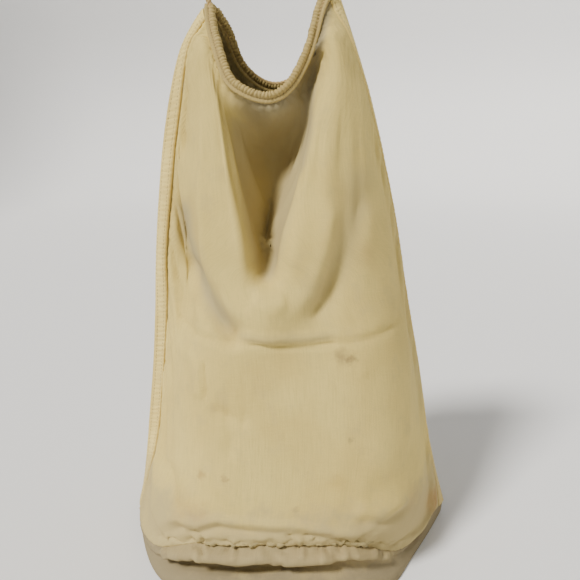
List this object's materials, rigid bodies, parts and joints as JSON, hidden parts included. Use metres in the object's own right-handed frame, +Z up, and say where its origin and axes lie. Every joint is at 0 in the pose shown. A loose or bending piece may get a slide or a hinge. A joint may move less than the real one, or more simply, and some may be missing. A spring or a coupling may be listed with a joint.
{
  "type": "mail sack",
  "caption": "Tall canvas mail sack on a round base, hung by the two sides of a gathered drawcord mouth, with felled side seams.",
  "frame": {"origin": "middle of the base's footprint, on the surface that the sack stands on", "axes": "+Z up, -Y the front with the deeper cowl and the hem seen from outside, +X to the right of a person who faces the front"},
  "size_m": [0.3772, 0.3042, 0.6145],
  "materials": {
    "body_canvas": "natural cotton duck, plain weave, aged cream with small stains",
    "base_canvas": "heavier natural cotton duck, rubbed and greyed",
    "seam_canvas": "felled canvas seam with two rows of stitching, puckered",
    "hem_canvas": "canvas channel, finely gathered",
    "cord": "twisted cotton cord"
  },
  "bodies": {
    "root": {"front_panel": "body_canvas", "back_panel": "body_canvas", "base_panel": "base_canvas", "left_side_seam": "seam_canvas", "right_side_seam": "seam_canvas", "base_seam": "seam_canvas", "front_hem": "hem_canvas", "back_hem": "hem_canvas", "drawcord": "cord", "drawcord_knot": "cord"}
  },
  "joints": []
}
